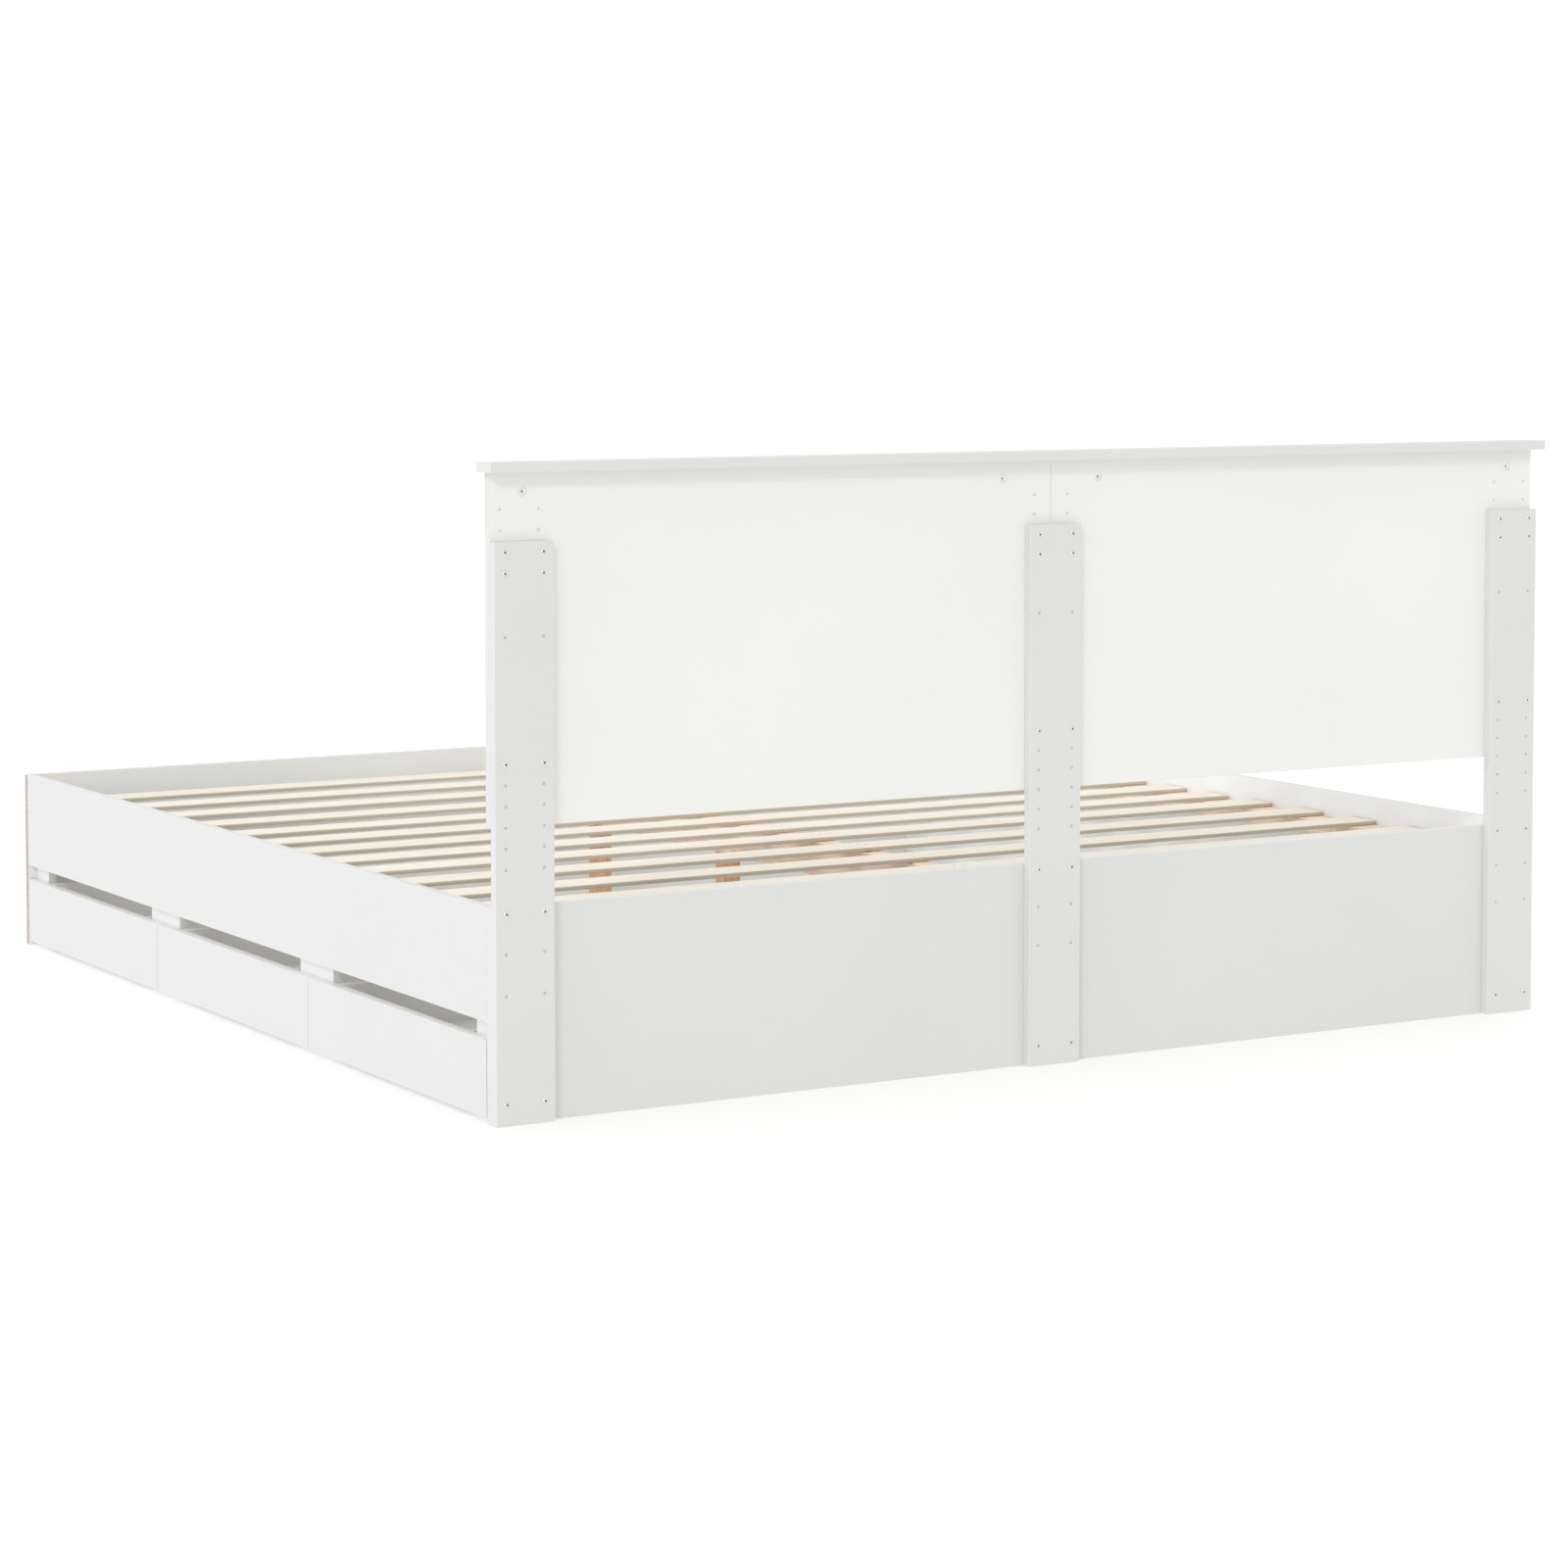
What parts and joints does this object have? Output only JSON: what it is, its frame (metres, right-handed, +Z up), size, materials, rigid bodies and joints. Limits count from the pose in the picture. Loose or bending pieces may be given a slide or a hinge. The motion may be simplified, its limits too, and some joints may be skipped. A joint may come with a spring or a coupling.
{
  "type": "bed frame",
  "caption": "Low white board bed frame with a tall headboard on rear posts, a slatted base and roll-out storage drawers along one side.",
  "frame": {"origin": "On the floor, under the middle of the bed's overall length and width.", "axes": "+Y towards the head end, +X towards the side that the drawers pull out from, +Z up."},
  "size_m": [2.056, 2.069, 1.006],
  "materials": {
    "white_board": "smooth white melamine-faced board, satin",
    "slat_wood": "pale planed wood, unvarnished",
    "raw_pine": "rough sawn timber, unfinished",
    "grey_plastic": "moulded plastic, matte",
    "zinc_steel": "zinc-plated screws and cams, dull bright"
  },
  "bodies": {
    "bed": {"post_drawer_side": "white_board", "post_middle": "white_board", "post_far_side": "white_board", "headboard_panel_drawer_side": "white_board", "headboard_panel_far_side": "white_board", "headboard_cap": "white_board", "head_rail": "white_board", "foot_board": "white_board", "drawer_side_rail": "white_board", "far_side_panel": "white_board", "leg_board_1": "white_board", "leg_board_2": "white_board", "leg_board_3": "white_board", "leg_board_4": "white_board", "slat_ledge_drawer_side": "raw_pine", "slat_ledge_far_side": "raw_pine", "centre_beam": "raw_pine", "centre_leg_1": "raw_pine", "centre_leg_2": "raw_pine", "centre_leg_3": "raw_pine", "slat_01": "slat_wood", "slat_02": "slat_wood", "slat_03": "slat_wood", "slat_04": "slat_wood", "slat_05": "slat_wood", "slat_06": "slat_wood", "slat_07": "slat_wood", "slat_08": "slat_wood", "slat_09": "slat_wood", "slat_10": "slat_wood", "slat_11": "slat_wood", "slat_12": "slat_wood", "slat_13": "slat_wood"},
    "drawer_1": {"drawer_1_front": "white_board", "drawer_1_foot_side": "white_board", "drawer_1_head_side": "white_board", "drawer_1_back": "white_board", "drawer_1_bottom": "white_board"},
    "drawer_1_wheel_1": {"drawer_1_wheel_1": "grey_plastic"},
    "drawer_1_wheel_2": {"drawer_1_wheel_2": "grey_plastic"},
    "drawer_1_wheel_3": {"drawer_1_wheel_3": "grey_plastic"},
    "drawer_1_wheel_4": {"drawer_1_wheel_4": "grey_plastic"},
    "drawer_2": {"drawer_2_front": "white_board", "drawer_2_foot_side": "white_board", "drawer_2_head_side": "white_board", "drawer_2_back": "white_board", "drawer_2_bottom": "white_board"},
    "drawer_2_wheel_1": {"drawer_2_wheel_1": "grey_plastic"},
    "drawer_2_wheel_2": {"drawer_2_wheel_2": "grey_plastic"},
    "drawer_2_wheel_3": {"drawer_2_wheel_3": "grey_plastic"},
    "drawer_2_wheel_4": {"drawer_2_wheel_4": "grey_plastic"},
    "drawer_3": {"drawer_3_front": "white_board", "drawer_3_foot_side": "white_board", "drawer_3_head_side": "white_board", "drawer_3_back": "white_board", "drawer_3_bottom": "white_board"},
    "drawer_3_wheel_1": {"drawer_3_wheel_1": "grey_plastic"},
    "drawer_3_wheel_2": {"drawer_3_wheel_2": "grey_plastic"},
    "drawer_3_wheel_3": {"drawer_3_wheel_3": "grey_plastic"},
    "drawer_3_wheel_4": {"drawer_3_wheel_4": "grey_plastic"}
  },
  "joints": [
    {"name": "drawer_1_slide", "type": "slide", "parent": "bed", "child": "drawer_1", "axis": [1, 0, 0], "range_m": [0, 0.45]},
    {"name": "drawer_1_wheel_1_spin", "type": "hinge", "parent": "drawer_1", "child": "drawer_1_wheel_1", "pos_m": [0.9415, -0.9115, 0.02], "axis": [0, 1, 0], "continuous": true},
    {"name": "drawer_1_wheel_2_spin", "type": "hinge", "parent": "drawer_1", "child": "drawer_1_wheel_2", "pos_m": [0.4615, -0.9115, 0.02], "axis": [0, 1, 0], "continuous": true},
    {"name": "drawer_1_wheel_3_spin", "type": "hinge", "parent": "drawer_1", "child": "drawer_1_wheel_3", "pos_m": [0.9415, -0.45517, 0.02], "axis": [0, 1, 0], "continuous": true},
    {"name": "drawer_1_wheel_4_spin", "type": "hinge", "parent": "drawer_1", "child": "drawer_1_wheel_4", "pos_m": [0.4615, -0.45517, 0.02], "axis": [0, 1, 0], "continuous": true},
    {"name": "drawer_2_slide", "type": "slide", "parent": "bed", "child": "drawer_2", "axis": [1, 0, 0], "range_m": [0, 0.45]},
    {"name": "drawer_2_wheel_1_spin", "type": "hinge", "parent": "drawer_2", "child": "drawer_2_wheel_1", "pos_m": [0.9415, -0.24117, 0.02], "axis": [0, 1, 0], "continuous": true},
    {"name": "drawer_2_wheel_2_spin", "type": "hinge", "parent": "drawer_2", "child": "drawer_2_wheel_2", "pos_m": [0.4615, -0.24117, 0.02], "axis": [0, 1, 0], "continuous": true},
    {"name": "drawer_2_wheel_3_spin", "type": "hinge", "parent": "drawer_2", "child": "drawer_2_wheel_3", "pos_m": [0.9415, 0.21517, 0.02], "axis": [0, 1, 0], "continuous": true},
    {"name": "drawer_2_wheel_4_spin", "type": "hinge", "parent": "drawer_2", "child": "drawer_2_wheel_4", "pos_m": [0.4615, 0.21517, 0.02], "axis": [0, 1, 0], "continuous": true},
    {"name": "drawer_3_slide", "type": "slide", "parent": "bed", "child": "drawer_3", "axis": [1, 0, 0], "range_m": [0, 0.45]},
    {"name": "drawer_3_wheel_1_spin", "type": "hinge", "parent": "drawer_3", "child": "drawer_3_wheel_1", "pos_m": [0.9415, 0.42917, 0.02], "axis": [0, 1, 0], "continuous": true},
    {"name": "drawer_3_wheel_2_spin", "type": "hinge", "parent": "drawer_3", "child": "drawer_3_wheel_2", "pos_m": [0.4615, 0.42917, 0.02], "axis": [0, 1, 0], "continuous": true},
    {"name": "drawer_3_wheel_3_spin", "type": "hinge", "parent": "drawer_3", "child": "drawer_3_wheel_3", "pos_m": [0.9415, 0.8855, 0.02], "axis": [0, 1, 0], "continuous": true},
    {"name": "drawer_3_wheel_4_spin", "type": "hinge", "parent": "drawer_3", "child": "drawer_3_wheel_4", "pos_m": [0.4615, 0.8855, 0.02], "axis": [0, 1, 0], "continuous": true}
  ],
  "couplings": [
    {"joint": "drawer_1_wheel_1_spin", "follows": "drawer_1_slide", "rad_per_m": 50},
    {"joint": "drawer_1_wheel_2_spin", "follows": "drawer_1_slide", "rad_per_m": 50},
    {"joint": "drawer_1_wheel_3_spin", "follows": "drawer_1_slide", "rad_per_m": 50},
    {"joint": "drawer_1_wheel_4_spin", "follows": "drawer_1_slide", "rad_per_m": 50},
    {"joint": "drawer_2_wheel_1_spin", "follows": "drawer_2_slide", "rad_per_m": 50},
    {"joint": "drawer_2_wheel_2_spin", "follows": "drawer_2_slide", "rad_per_m": 50},
    {"joint": "drawer_2_wheel_3_spin", "follows": "drawer_2_slide", "rad_per_m": 50},
    {"joint": "drawer_2_wheel_4_spin", "follows": "drawer_2_slide", "rad_per_m": 50},
    {"joint": "drawer_3_wheel_1_spin", "follows": "drawer_3_slide", "rad_per_m": 50},
    {"joint": "drawer_3_wheel_2_spin", "follows": "drawer_3_slide", "rad_per_m": 50},
    {"joint": "drawer_3_wheel_3_spin", "follows": "drawer_3_slide", "rad_per_m": 50},
    {"joint": "drawer_3_wheel_4_spin", "follows": "drawer_3_slide", "rad_per_m": 50}
  ]
}
